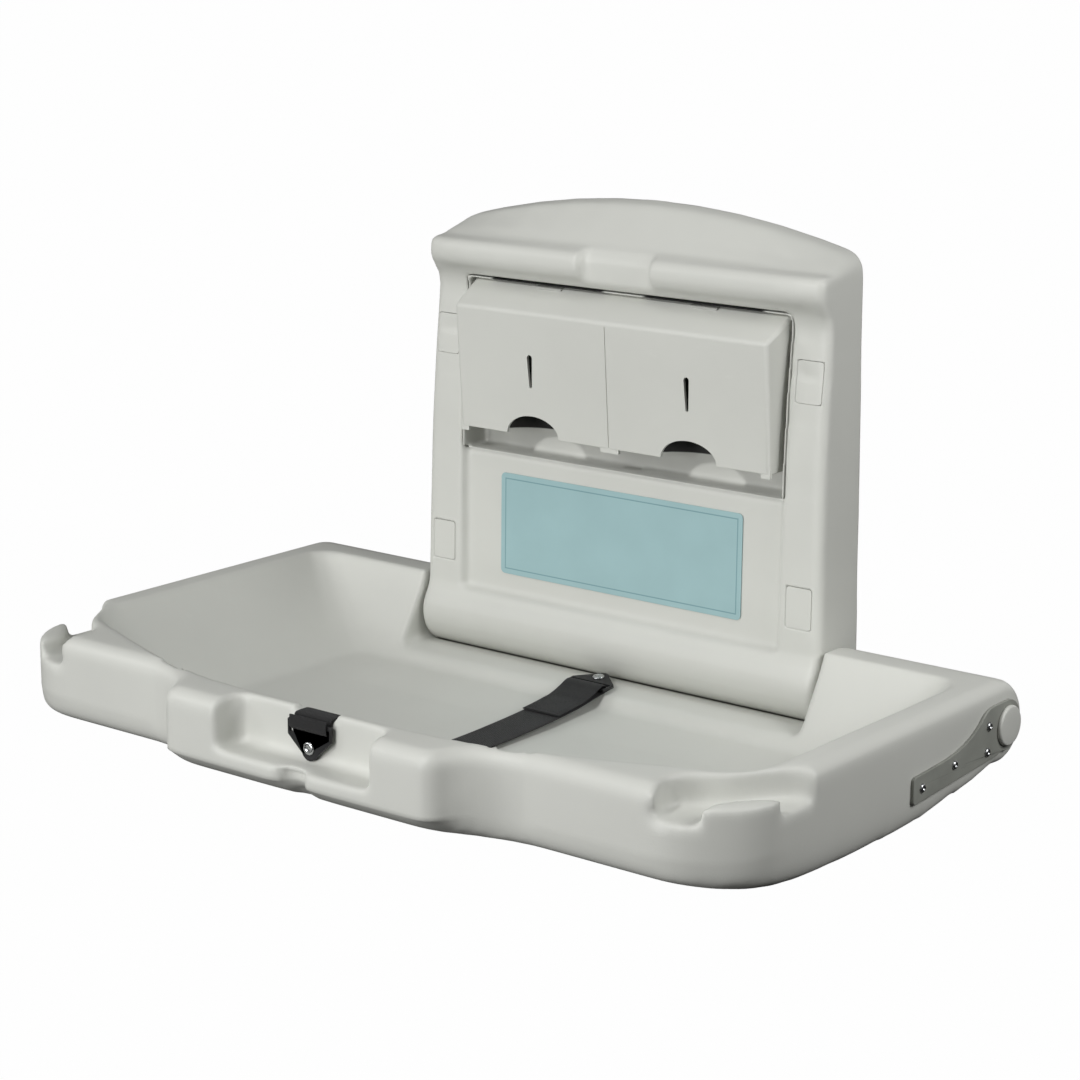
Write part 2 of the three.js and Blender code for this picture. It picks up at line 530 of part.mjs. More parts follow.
const OUTSIDE = LIP_Y - 40;
const SILL_Y = RECESS_Y + BACK_WALL;
const bayOutline = (grow, front) => outlineOf([[front, LEDGE_Z - grow], [SILL_Y - grow, LEDGE_Z - grow],
  [SILL_Y - grow, BAY_LOW - grow], [HOPPER_BACK + grow, BAY_LOW - grow],
  [HOPPER_BACK + grow, BAY_TOP + grow], [front, BAY_TOP + grow]]);
const recessCut = (wall) => alongX(outlineOf([[OUTSIDE, RECESS_LOW - wall],
  [RECESS_Y + wall, RECESS_LOW - wall], [RECESS_Y + 1.5 + wall, BAY_LOW + 12], [OUTSIDE, BAY_LOW + 12]]),
-BAY_HALF - wall, BAY_HALF + wall);
const gapBack = LIP_Y + LIP_GAP_DEPTH;
const lipCut = (wall) => alongX(outlineOf([[OUTSIDE, LIP_LOW - 30 - wall],
  [gapBack + wall, LIP_LOW - 30 - wall], [gapBack + wall, LIP_TOP - 6],
  [gapBack + 7 + wall, LIP_TOP + 5 - wall], [gapBack + 7 + wall, CROWN_Z], [OUTSIDE, CROWN_Z]]),
-LIP_GAP_HALF - wall, LIP_GAP_HALF + wall);

const pockets = [];
const screwX = BACK_HALF - SCREW_INSET;
for (const z of SCREW_Z) for (const x of [-screwX, screwX]) pockets.push([x, z]);
const pocket = (x, z, grow, front, back) => roundedBox(
  at(x - COVER_W / 2 - grow, front, z - COVER_H / 2 - grow),
  at(x + COVER_W / 2 + grow, back, z + COVER_H / 2 + grow), 'y', 3);

const backOuter = backSolid(0);
const SEAT_Y = -WALL_PLATE_T - FIT;
let backHollow = backSolid(BACK_WALL).subtract(recessCut(BACK_WALL)).subtract(lipCut(BACK_WALL));
for (const [x, z] of pockets) backHollow = backHollow.subtract(pocket(x, z, 2.5, OUTSIDE, SEAT_Y));
let shell = backOuter.subtract(recessCut(0)).subtract(lipCut(0)).subtract(backHollow);
shell = shell.subtract(alongX(bayOutline(0, OUTSIDE), -BAY_HALF - 1, BAY_HALF + 1));
shell = shell.subtract(bothSides(onAxis(BUSH_R + FIT, BACK_HALF - 20, BACK_HALF + 5)));
for (const [x, z] of pockets) {
  shell = shell.subtract(pocket(x, z, FIT, OUTSIDE, SEAT_Y - 3.5));
  shell = shell.subtract(rod(SCREW_R + FIT, -20, 20, at(x, 0, z), Y, 16));
}
part('back_shell', shell.decompose().sort((a, b) => b.volume() - a.volume())[0], greyPlastic);

const plateHalf = BACK_HALF - PLATE_INSET;
let wallPlate = box(at(-plateHalf, -WALL_PLATE_T, 8.5 - BARREL_R), at(plateHalf, 0, LIP_TOP - 8));
for (const [x, z] of pockets) {
  wallPlate = wallPlate.subtract(rod(SCREW_R + FIT, -9, 9, at(x, 0, z), Y, 16));
}
part('wall_plate', wallPlate, steel);

const names = ['lower_left', 'lower_right', 'upper_left', 'upper_right'];
const coverCore = backSolid(COVER_T);
pockets.forEach(([x, z], i) => {
  const cover = backOuter.subtract(coverCore).intersect(pocket(x, z, 0, OUTSIDE, POST_Y / 2));
  part(`screw_cover_${names[i]}`, cover, greyPlastic);
  const head = SEAT_Y - 3.5 - FIT / 2;
  const screw = lathe([[0, 0.2], [SCREW_R, 0.2], [SCREW_R, -head], [SCREW_R + 4.5, -head],
    [SCREW_R + 4.5, -head + 2], [SCREW_R + 1.5, -head + 5], [0, -head + 5.6]],
  at(x, 0, z), Y.clone().negate(), 16);
  part(`wall_screw_${names[i]}`, screw, steel);
});

const labelFoot = RECESS_Y - FIT;
const labelHead = labelFoot + 1.1;
part('label_panel', alongX(outlineOf([[labelFoot, RECESS_LOW + 22], [labelHead, BAY_LOW - 9.5],
  [labelHead - LABEL_T, BAY_LOW - 9.5], [labelFoot - LABEL_T, RECESS_LOW + 22]]).reverse(),
LABEL_MARGIN - BAY_HALF, BAY_HALF - LABEL_MARGIN), labelFilm);

// Liner hopper behind the door, with the flat ledge under it
const hopperHalf = BAY_HALF + 1 - FIT;
const hopperOuter = alongX(bayOutline(-FIT, OUTSIDE), -hopperHalf, hopperHalf).intersect(backOuter);
const hopperInner = box(at(HOPPER_WALL - hopperHalf, OUTSIDE, LEDGE_Z),
  at(hopperHalf - HOPPER_WALL, HOPPER_BACK - HOPPER_WALL, BAY_TOP - HOPPER_WALL));
const keySlot = roundedBox(at(-9, HOPPER_BACK - HOPPER_WALL - 4, BAY_LOW + 2),
  at(9, HOPPER_BACK - HOPPER_WALL - 0.5, LEDGE_Z + 5), 'z', 1.5);
part('liner_hopper', hopperOuter.subtract(hopperInner).subtract(recessCut(0)).subtract(keySlot), greyPlastic);

// Six sides over eight corners: the first four at the back, the last four in front.
function hull(a, b, c, d, e, f, g, h) {
  const positions = [];
  const quad = (p, q, r, s) => [p, q, r, p, r, s].forEach((k) => positions.push(k.x, k.y, k.z));
  quad(a, b, c, d);
  quad(e, h, g, f);
  quad(a, e, f, b);
  quad(b, f, g, c);
  quad(c, g, h, d);
  quad(d, h, e, a);
  const geometry = new THREE.BufferGeometry();
  geometry.setAttribute('position', new THREE.Float32BufferAttribute(positions, 3));
  return solid(geometry);
}

// Liner door: a leaning cover with a sloped top, hung from two straps under the lip
function doorBlock(inset) {
  const wide = BAY_HALF - DOOR_SIDE_GAP - inset;
  const narrow = wide - DOOR_LEAN;
  const back = DOOR_BACK + inset * 4;
  const foot = DOOR_LOW - inset * 4;
  const ridge = DOOR_RIDGE - inset * 0.4;
  return hull(
    at(-wide, back, DOOR_TOP - inset), at(wide, back, DOOR_TOP - inset),
    at(narrow, back, foot), at(-narrow, back, foot),
    at(4 - wide, DOOR_RIDGE_Y + inset, ridge), at(wide - 4, DOOR_RIDGE_Y + inset, ridge),
    at(narrow - 1, DOOR_LOW_Y + inset, foot), at(1 - narrow, DOOR_LOW_Y + inset, foot));
}

let door = doorBlock(0).subtract(doorBlock(DOOR_WALL));
const teardrop = new THREE.Shape();
teardrop.moveTo(SLOT_X - 1.6, DOOR_LOW + 49.5);
teardrop.lineTo(SLOT_X + 1.6, DOOR_LOW + 49.5);
teardrop.lineTo(SLOT_X + 3.2, DOOR_LOW + 79.5);
teardrop.absarc(SLOT_X, DOOR_LOW + 80, 3.2, 0, Math.PI);
door = door.subtract(bothSides(alongY(new THREE.Shape(teardrop.getPoints(8)), OUTSIDE, DOOR_BACK + 10)));
const moon = new THREE.CylinderGeometry(1, 1, 80, 28);
moon.scale(33, 1, 20.5);
moon.translate(SLOT_X, DOOR_LOW_Y, DOOR_LOW);
door = door.subtract(bothSides(solid(moon)));
const groove = alongX(outlineOf([[OUTSIDE, BAY_LOW - 18], [DOOR_LOW_Y + 1, BAY_LOW - 18],
  [DOOR_LOW_Y + 1, DOOR_LOW], [DOOR_RIDGE_Y + 1, DOOR_RIDGE - 4], [OUTSIDE, DOOR_RIDGE - 4]]), -1, 1);
door = door.subtract(groove);
const footX = BAY_HALF - 12;
for (const [x, wide] of [[-footX, 10], [0, 22], [footX, 10]]) {
  door = door.add(box(at(x - wide / 2, DOOR_LOW_Y + 0.5, DOOR_LOW - 4.5),
    at(x + wide / 2, DOOR_LOW_Y + 4, DOOR_LOW + 6)));
}
part('liner_door', door, greyPlastic);
for (const [name, side] of [['left', -1], ['right', 1]]) {
  const x = side * (SLOT_X - 1.5);
  part(`door_hinge_${name}`, box(at(x - DOOR_HINGE_W / 2, DOOR_BACK + 3, DOOR_TOP - 10),
    at(x + DOOR_HINGE_W / 2, DOOR_BACK + 8, BAY_TOP - HOPPER_WALL - 2 * FIT)), greyPlastic);
}

// Bushes, damper and stops around the shaft, inside the barrel
for (const [name, side] of [['left', -1], ['right', 1]]) {
  const turn = (shape) => (side > 0 ? shape : shape.mirror([1, 0, 0]));
  const end = EAR_INNER - 3 * RUN;
  const lip = BACK_HALF - BACK_WALL - 1.4;
  const bush = ring(BUSH_R, SHAFT_R + RUN, lip - 4, end).add(ring(BUSH_LIP_R, SHAFT_R + RUN, lip - 4, lip));
  part(`shaft_bush_${name}`, turn(bush), nylon);
  const [low, high] = [STOP_X - STOP_HALF, STOP_X + STOP_HALF];
  const armHalf = 6;
  const arm = ring(SHAFT_R + 5.5, SHAFT_R + FIT, low, high)
    .add(box(at(low, AXIS_Y + SHAFT_R + 2.5, -armHalf), at(high, AXIS_Y + SHAFT_R + 16.5, armHalf)));
  part(`stop_arm_${name}`, turn(arm), steel);
  part(`stop_block_${name}`, turn(box(at(low - 3, AXIS_Y + SHAFT_R + 6.5, armHalf + FIT),
    at(high + 3, SEAT_Y, armHalf + 18))), rubber);
}
const housing = ring(DAMPER_R + 7, DAMPER_R + RUN, -DAMPER_HALF, DAMPER_HALF)
  .add(box(at(-DAMPER_HALF, AXIS_Y + DAMPER_R + 2, -24), at(DAMPER_HALF, SEAT_Y, 24))
    .subtract(onAxis(DAMPER_R + 1, -DAMPER_HALF - 10, DAMPER_HALF + 10)));
part('damper_housing', housing, blackPlastic);
part('damper_rotor', ring(DAMPER_R, SHAFT_R + FIT, 4 - DAMPER_HALF, DAMPER_HALF - 4), nylon);

// Strap anchors: a plate with a bar for the webbing, on one rivet
function anchorOutline() {
  const shape = new THREE.Shape();
  const half = STRAP_HALF + 3.5;
  shape.moveTo(-half, 22);
  shape.lineTo(-half, 9);
  shape.lineTo(-0.5 - ANCHOR_BOSS_R, -6);
  shape.absarc(0, -2.6, ANCHOR_BOSS_R + 1.2, Math.PI + 0.4, 2 * Math.PI - 0.4);
  shape.lineTo(half, 9);
  shape.lineTo(half, 22);
  shape.quadraticCurveTo(half, 24, half - 2, 24);
  shape.lineTo(2 - half, 24);
  shape.quadraticCurveTo(-half, 24, -half, 22);
  const slot = new THREE.Path();
  const reach = STRAP_HALF + 1.5;
  slot.moveTo(-reach, 11.5);
  slot.lineTo(-reach, 19.5);
  slot.lineTo(reach, 19.5);
  slot.lineTo(reach, 11.5);
  shape.holes.push(slot);
  return shape;
}
function anchor() {
  const geometry = new THREE.ExtrudeGeometry(anchorOutline(), {
    depth: ANCHOR_T, bevelEnabled: false, curveSegments: 6,
  });
  geometry.translate(0, 0, ANCHOR_STAND);
  const boss = rod(ANCHOR_BOSS_R, FIT, ANCHOR_STAND + 1, at(0, 0, 0), Z, 20);
  return solid(geometry).add(boss).subtract(rod(ANCHOR_RIVET_R + FIT, -5, 20, at(0, 0, 0), Z, 16));
}
const RIVET_TOP = ANCHOR_STAND + ANCHOR_T + FIT / 2;
const anchorRivet = (shank) => lathe([[0, -shank], [ANCHOR_RIVET_R, -shank],
  [ANCHOR_RIVET_R, RIVET_TOP], [ANCHOR_RIVET_R + 3.5, RIVET_TOP], [ANCHOR_RIVET_R + 3.1, RIVET_TOP + 1.3],
  [0, RIVET_TOP + 1.9]], at(0, 0, 0), Z, 16);
function setAnchor(name, frame) {
  const place = (shape) => solid(geometryOf(shape).applyMatrix4(frame));
  part(name, place(anchor()), blackPlastic);
  part(`${name}_rivet`, place(anchorRivet(RIVET_GRIP)), steel);
}
setAnchor('front_anchor', FRONT_ANCHOR);
setAnchor('rear_anchor', REAR_ANCHOR);

// Webbing: out of the rear anchor, along the floor, up the front wall, over the rim to the front anchor
function ribbon(path) {
  const half = STRAP_T / 2;
  const curve = new THREE.CatmullRomCurve3(path.map(([y, z]) => at(0, y, z)), false, 'centripetal');
  const line = curve.getPoints(path.length * 2);
  const left = [];
  const right = [];
  line.forEach((p, i) => {
    const t = curve.getTangent(i / (line.length - 1));
    left.push(v2(p.y - t.z * half, p.z + t.y * half));
    right.push(v2(p.y + t.z * half, p.z - t.y * half));
  });
  const outline = [...left, ...right.reverse()];
  return alongX(THREE.ShapeUtils.isClockWise(outline) ? outline.reverse() : outline,
    -STRAP_HALF, STRAP_HALF);
}
// The (Y, Z) run of the webbing: a loose tail and a loop through the rear anchor, the floor, the front wall
// of the bowl, the notch in the rim and the loop through the front anchor.
const LAID = FLOOR_Z + STRAP_T / 2 + 0.5;
const from = (y, z, points) => points.map(([dy, dz]) => [y + dy, z + dz]);
const frontWall = WALL_STEPS.slice(1, 8).reverse()
  .map(([down, share]) => [BOWL_FRONT + share * FRONT_SLOPE + 2, drop(down)]);
const strapPath = [
  ...from(REAR_RIVET_Y, REAR_RIVET_Z, [[-94, -7], [-78, -5.7], [-62, -4], [-52, -2.75], [-43, -0.3],
    [-34, 2.83], [-26, 6.03], [-21.5, 6.73], [-17.8, 5.23], [-16.6, 2.43], [-18.2, -0.17], [-24, -1.17],
    [-36, -2.96], [-52, -5.46], [-72, -7.66], [-100, -9.66], [-145, -11.66]]),
  ...from(REAR_RIVET_Y - 180, LAID, [[0, 0.1], [-40, 0]]),
  ...from(FLOOR_FRONT, LAID, [[25, 0], [7, 0.4]]),
  ...frontWall,
  ...from(BOWL_FRONT, NOTCH_Z, [[4, 1.4], [-2, 2.3]]),
  ...from(GRIP_BACK, NOTCH_Z, [[4, 2.3], [-0.6, 1.4], [-1.9, -2.5], [-1.8, -6.5],
    [-2.8, -9.4], [-5.3, -10.7], [-7.9, -9.2], [-8.6, -6], [-8.4, -2], [-7.8, 2]]),
];
part('safety_strap', ribbon(strapPath), webbing);

export default station;
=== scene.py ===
# A wall-mounted baby changing station with its bed folded down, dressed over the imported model.
import math
import bmesh
import bpy
from mathutils import Matrix, Vector


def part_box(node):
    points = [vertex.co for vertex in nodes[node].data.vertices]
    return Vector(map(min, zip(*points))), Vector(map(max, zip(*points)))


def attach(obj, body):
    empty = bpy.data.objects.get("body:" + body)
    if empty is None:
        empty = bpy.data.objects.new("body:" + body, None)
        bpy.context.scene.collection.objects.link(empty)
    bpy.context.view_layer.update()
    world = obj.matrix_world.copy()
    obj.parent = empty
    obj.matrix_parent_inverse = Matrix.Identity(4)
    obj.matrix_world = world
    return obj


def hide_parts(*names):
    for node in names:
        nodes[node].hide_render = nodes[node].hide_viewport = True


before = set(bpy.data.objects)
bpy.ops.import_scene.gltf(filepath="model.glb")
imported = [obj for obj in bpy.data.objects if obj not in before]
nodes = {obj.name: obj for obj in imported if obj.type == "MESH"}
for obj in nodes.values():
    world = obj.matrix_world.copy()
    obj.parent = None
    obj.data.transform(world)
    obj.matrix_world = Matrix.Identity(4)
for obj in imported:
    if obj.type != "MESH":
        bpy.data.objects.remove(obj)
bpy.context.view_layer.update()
scene = bpy.context.scene
scene.view_settings.view_transform = "Standard"


# The studio: a wide floor well below the bed, since the unit hangs on a wall at waist height, and a
# white surround. The camera sees both near white, everything else sees a dark floor and a dim room.
class Wire:
    """One socket of a material's nodes. Sums and products of sockets add Math nodes."""

    def __init__(self, tree, socket=None):
        self.tree = tree
        self.socket = socket

    def node(self, kind, sockets=None, out=0, **settings):
        made = self.tree.nodes.new("ShaderNode" + kind)
        stops = settings.pop("stops", None)
        for name, value in settings.items():
            setattr(made, name, value)
        if stops:
            ramp = made.color_ramp
            while len(ramp.elements) < len(stops):
                ramp.elements.new(0.5)
            for element, (place, colour) in zip(ramp.elements, stops):
                element.position = place
                element.color = colour
        for key, value in (sockets or {}).items():
            if isinstance(value, Wire):
                self.tree.links.new(value.socket, made.inputs[key])
            else:
                made.inputs[key].default_value = value
        return Wire(self.tree, made.outputs[out]) if len(made.outputs) else None

    def math(self, operation, *values):
        return self.node("Math", dict(enumerate(values)), operation=operation)

    def __add__(self, other):
        return self.math("ADD", self, other)

    __radd__ = __add__

    def __sub__(self, other):
        return self.math("SUBTRACT", self, other)

    def __rsub__(self, other):
        return self.math("SUBTRACT", other, self)

    def __mul__(self, other):
        return self.math("MULTIPLY", self, other)

    __rmul__ = __mul__

    def ramp(self, low, high):
        return self.node("MapRange", {0: self, 1: low, 2: high, 3: 0.0, 4: 1.0})

    def mix(self, first, second):
        return self.node("Mix", {0: self, 6: first, 7: second}, out=2, data_type="RGBA")


def empty_material(name):
    material = bpy.data.materials.new(name)
    material.use_nodes = True
    material.node_tree.nodes.clear()
    return material, Wire(material.node_tree)


def srgb(r, g, b):
    def linear(c):
        c /= 255
        return c / 12.92 if c <= 0.04045 else ((c + 0.055) / 1.055) ** 2.4
    return (linear(r), linear(g), linear(b), 1.0)


floor_height, floor_half = -0.86, 60
floor_whiteness, floor_glow = 0.9, 1.1
bm = bmesh.new()
bmesh.ops.create_grid(bm, x_segments=1, y_segments=1, size=floor_half)
bmesh.ops.translate(bm, verts=bm.verts, vec=(0, 0, floor_height))
floor_mesh = bpy.data.meshes.new("studio_floor")
bm.to_mesh(floor_mesh)
floor = bpy.data.objects.new("studio_floor", floor_mesh)
scene.collection.objects.link(floor)
floor_paint, wire = empty_material("studio_floor")
rays = wire.node("LightPath")
seen = Wire(rays.tree, rays.socket.node.outputs["Is Camera Ray"])
lit = wire.node("BsdfDiffuse", {"Color": srgb(52, 52, 51)})
glow = wire.node("Emission", {"Color": (1, 1, 1, 1), "Strength": floor_glow})
wire.node("OutputMaterial", {0: wire.node("MixShader", {0: seen * floor_whiteness, 1: lit, 2: glow})})
floor_mesh.materials.append(floor_paint)

world = bpy.data.worlds.new("studio")
world.use_nodes = True
world.node_tree.nodes.clear()
wire = Wire(world.node_tree)
rays = wire.node("LightPath")
outs = rays.socket.node.outputs
from_camera = Wire(rays.tree, outs["Is Camera Ray"])
shown = wire.math("MAXIMUM", from_camera, Wire(rays.tree, outs["Is Transmission Ray"]))
room_strength = 0.14
room = wire.node("Background", {"Color": (1, 1, 1, 1), "Strength": room_strength})
white = wire.node("Background", {"Color": (1, 1, 1, 1), "Strength": 1.0})
wire.node("OutputWorld", {0: wire.node("MixShader", {0: shown, 1: room, 2: white})})
scene.world = world


# Lamps: a small high key in front throws the door's shadow on the ledge, and broad fills from the front,
# the left, the right and above even it out. A weak one behind shows the rear.
def lamp(name, place, target, size, watts):
    data = bpy.data.lights.new(name, "AREA")
    data.shape = "DISK"
    data.size = size
    data.energy = watts
    made = bpy.data.objects.new(name, data)
    scene.collection.objects.link(made)
    made.location = place
    made.rotation_euler = (Vector(target) - Vector(place)).to_track_quat("-Z", "Y").to_euler()


lamp("front_key", (0.0, -2.55, 1.72), (0, -0.08, 0.21), 0.22, 28)
lamp("front_fill", (-0.5, -3.2, 0.35), (0, -0.2, 0.1), 1.2, 34)
lamp("left_fill", (-2.2, -2.4, 1.4), (0, -0.2, 0.1), 1.2, 18)
lamp("right_fill", (1.35, -0.1, 0.78), (0.2, -0.1, 0.15), 0.6, 9.0)
lamp("top_fill", (0.0, -1.1, 2.7), (0, -0.3, 0.1), 1.2, 6.5)
lamp("back_fill", (0.3, 3.0, 0.7), (0, 0, 0.2), 1.2, 5)

# The camera stands to the right of the unit and a little above it.
azimuth, elevation, roll = (math.radians(a) for a in (38.42, 13.80, 0.18))
distance, focal_length, sensor_width = 2.8233, 93.0, 36
target = Vector((-0.09263, -0.06655, 0.09704))
level = math.cos(elevation)
back = Vector((math.sin(azimuth) * level, -math.cos(azimuth) * level, math.sin(elevation)))
right = Vector((math.cos(azimuth), math.sin(azimuth), 0))
up = back.cross(right)
rolled_right = right * math.cos(roll) + up * math.sin(roll)
rolled_up = up * math.cos(roll) - right * math.sin(roll)
turn = Matrix((rolled_right, rolled_up, back))
camera_data = bpy.data.cameras.new("camera")
camera_data.sensor_width = sensor_width
camera_data.lens = focal_length
camera_data.clip_end = 200
camera = bpy.data.objects.new("camera", camera_data)
scene.collection.objects.link(camera)
camera.matrix_world = Matrix.Translation(target + back * distance) @ turn.transposed().to_4x4()
scene.camera = camera


# Wall plate and screws: a flat galvanised plate that carries the unit, and four pan-head screws
# behind the covers. Both are cold-worked steel with a thin zinc coat.
def metal(name, colour, roughness, grain, metallic=1.0):
    material, wire = empty_material(name)
    where = wire.node("TexCoord", out=3)
    fine = wire.node("TexNoise", {"Vector": where, "Scale": grain, "Detail": 4.0, "Roughness": 0.6})
    broad = wire.node("TexNoise", {"Vector": where, "Scale": 35.0, "Detail": 3.0})
    tint = broad.ramp(0.35, 0.65).mix(tuple(c * 0.86 for c in colour[:3]) + (1,), colour)
    bump = wire.node("Bump", {"Height": fine, "Strength": 0.25, "Distance": 0.0002})
    shader = wire.node("BsdfPrincipled", {
        "Base Color": tint, "Metallic": metallic, "Roughness": roughness + (fine - 0.5) * 0.25,
        "Normal": bump})
    wire.node("OutputMaterial", {0: shader})
    return material


def wear(material, *names):
    for name in names:
        data = nodes[name].data
        data.materials.clear()
        data.materials.append(material)


zinc = metal("zinc_steel", srgb(198, 200, 202), 0.34, 900)
corners = ("lower_left", "lower_right", "upper_left", "upper_right")
wear(zinc, "wall_plate", *("wall_screw_" + c for c in corners))


# Back shell: one blow-moulded polyethylene housing with soft corners all over, open at the wall. The
# covers close the screw pockets while it is rounded, and the pockets are cut crisp afterwards.
def moulded(name, colour, painted_shade_above=None):
    material, wire = empty_material(name)
    where = wire.node("TexCoord", out=3)
    pebble = wire.node("TexNoise", {"Vector": where, "Scale": 780.0, "Detail": 3.0, "Roughness": 0.55})
    ripple = wire.node("TexNoise", {"Vector": where, "Scale": 16.0, "Detail": 2.0})
    cloud = wire.node("TexNoise", {"Vector": where, "Scale": 5.0, "Detail": 4.0, "Roughness": 0.6})
    stretched = wire.node("Mapping", {
        "Vector": where, "Scale": (18.0, 60.0, 60.0), "Rotation": (0.2, 0.3, 0.5)})
    rub = wire.node("TexNoise", {"Vector": stretched, "Scale": 1.0, "Detail": 6.0, "Roughness": 0.7})
    scuff = rub.ramp(0.62, 0.78)
    tint = cloud.ramp(0.3, 0.7).mix(tuple(c * 0.955 for c in colour[:3]) + (1,), colour)
    tint = (scuff * 0.25).mix(tint, tuple(min(1, c * 1.12) for c in colour[:3]) + (1,))
    # Painted shade: above the given height and over two low arches at the notches, the colour turns near
    # black to stand for the unlit inside of the liner compartment.
    if painted_shade_above:
        across = wire.node("SeparateXYZ", {0: where})
        upward = Wire(wire.tree, across.socket.node.outputs[2])
        arch_x, arch_half, arch_rise, arch_blur = 0.095, 0.068, 0.006, 0.001
        bow = (across.math("ABSOLUTE", across) - arch_x) * (1 / arch_half)
        arch = (upward + bow * bow * arch_rise).ramp(painted_shade_above, painted_shade_above + arch_blur)
        tint = (arch * (1 - (bow * bow).ramp(1.0, 1.15))).mix(tint, srgb(24, 24, 22))
    height = pebble * 0.8 + ripple * 1.4
    bump = wire.node("Bump", {"Height": height, "Strength": 0.22, "Distance": 0.0005})
    shader = wire.node("BsdfPrincipled", {
        "Base Color": tint, "Roughness": 0.46 + (cloud - 0.5) * 0.12 + scuff * 0.1, "Normal": bump,
        "Specular IOR Level": 0.4})
    wire.node("OutputMaterial", {0: shader})
    return material


grey = moulded("moulded_grey", srgb(208, 209, 203))


def merged_copy(name):
    made = bmesh.new()
    made.from_mesh(nodes[name].data)
    bmesh.ops.remove_doubles(made, verts=made.verts, dist=0.00001)
    return made


def settled(bm, kind, **settings):
    """The mesh with one modifier worked in."""
    mesh = bpy.data.meshes.new("blank")
    bm.to_mesh(mesh)
    bm.free()
    blank = bpy.data.objects.new("blank", mesh)
    scene.collection.objects.link(blank)
    added = blank.modifiers.new(kind, kind)
    for name, value in settings.items():
        setattr(added, name, value)
    bpy.context.view_layer.update()
    done = bpy.data.meshes.new_from_object(blank.evaluated_get(bpy.context.evaluated_depsgraph_get()))
    made = bmesh.new()
    made.from_mesh(done)
    bpy.data.objects.remove(blank)
    for used in (mesh, done):
        bpy.data.meshes.remove(used)
    return made


def eased(bm, verts, rounds):
    """Vertices drawn towards their neighbours, which softens the edges among them."""
    for _ in range(rounds):
        bmesh.ops.smooth_vert(bm, verts=verts, factor=0.5, use_axis_x=True, use_axis_y=True, use_axis_z=True)
    return bm


def rounded(bm, voxel, rounds):
    """A closed skin over the shape with its corners eased."""
    made = settled(bm, "REMESH", mode="VOXEL", voxel_size=voxel)
    return eased(made, made.verts, rounds)


def grown_verts(result):
    return [g for g in result["geom"] if isinstance(g, bmesh.types.BMVert)]


def outer_skin(bm):
    """Only the largest connected sheet, since the hollow inside never shows."""
    left, kept = set(bm.verts), set()
    while left:
        edge = [left.pop()]
        found = set(edge)
        while edge:
            at = edge.pop()
            near = {e.other_vert(at) for e in at.link_edges} & left
            left -= near
            found |= near
            edge.extend(near)
        kept = max(kept, found, key=len)
    bmesh.ops.delete(bm, geom=[v for v in bm.verts if v not in kept], context="VERTS")
    return bm


def carved(bm, tool, operation="DIFFERENCE"):
    mesh = bpy.data.meshes.new("tool")
    tool.to_mesh(mesh)
    tool.free()
    cutter = bpy.data.objects.new("tool", mesh)
    scene.collection.objects.link(cutter)
    made = settled(bm, "BOOLEAN", object=cutter, operation=operation, solver="MANIFOLD")
    bpy.data.objects.remove(cutter)
    bpy.data.meshes.remove(mesh)
    return made


def block(low, high, edges=0.0, segments=3):
    """A box, with the edges that run along Y rounded."""
    made = bmesh.new()
    bmesh.ops.create_cube(made, size=1)
    size = [b - a for a, b in zip(low, high)]
    bmesh.ops.scale(made, verts=made.verts, vec=size)
    bmesh.ops.translate(made, verts=made.verts, vec=[(a + b) / 2 for a, b in zip(low, high)])
    if edges:
        kept = [e for e in made.edges if abs((e.verts[0].co - e.verts[1].co).normalized().y) > 0.9]
        bmesh.ops.bevel(made, geom=kept, offset=edges, segments=segments, profile=0.5, affect="EDGES",
                        material=-1)
    return made


def framed_faces(bm):
    """A narrow border in each wide face, so that it shades flat up to its rounded edges."""
    least_area, border = 0.0003, 0.0005
    wide = [f for f in bm.faces if f.calc_area() > least_area]
    bmesh.ops.inset_individual(bm, faces=wide, thickness=border, use_even_offset=True)


def piece(name, bm, material, body, slot, *stands_for, crease=0.0):
    mesh = bpy.data.meshes.new(name)
    for face in bm.faces:
        face.smooth = True
    bm.to_mesh(mesh)
    bm.free()
    if crease:
        mesh.set_sharp_from_angle(angle=crease)
    mesh.materials.clear()
    mesh.materials.append(material)
    made = bpy.data.objects.new(name, mesh)
    scene.collection.objects.link(made)
    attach(made, body)
    if stands_for:
        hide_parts(*stands_for)


def joined(*parts):
    made = parts[0]
    for extra in parts[1:]:
        mesh = bpy.data.meshes.new("extra")
        extra.to_mesh(mesh)
        extra.free()
        made.from_mesh(mesh)
        bpy.data.meshes.remove(mesh)
    return made


covers = ["screw_cover_" + c for c in corners]
plug_growth, rear_margin, shell_voxel = 1.06, 0.012, 0.0032
plugs = []
for name in covers:
    plug = merged_copy(name)
    low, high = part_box(name)
    middle = (Vector(low) + Vector(high)) / 2
    bmesh.ops.scale(plug, verts=plug.verts, vec=(plug_growth, 1, plug_growth),
                    space=Matrix.Translation(-middle))
    plugs.append(plug)
shell = merged_copy("back_shell")
rear = [f for f in shell.faces if f.normal.y > 0.99 and f.calc_center_median().y > -0.0001]
drawn = bmesh.ops.extrude_face_region(shell, geom=rear)
bmesh.ops.translate(shell, verts=grown_verts(drawn), vec=(0, rear_margin, 0))
bmesh.ops.delete(shell, geom=rear, context="FACES_ONLY")
sill = block((-0.1962, -0.0574, 0.150), (0.1962, -0.0345, 0.1789))
behind_wall = block((-0.4, 0, -0.2), (0.4, 0.1, 0.6))
housing = carved(rounded(joined(shell, sill, *plugs), shell_voxel, 3), behind_wall)
cover_gap, cover_corner, cover_deep = 0.0006, 0.003, 0.006
pocket_front, pocket_back = -0.12, -0.03


def cover_block(name, grow, back):
    low, high = (Vector(c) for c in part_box(name))
    return block((low.x - grow, pocket_front, low.z - grow), (high.x + grow, back, high.z + grow),
                 cover_corner)


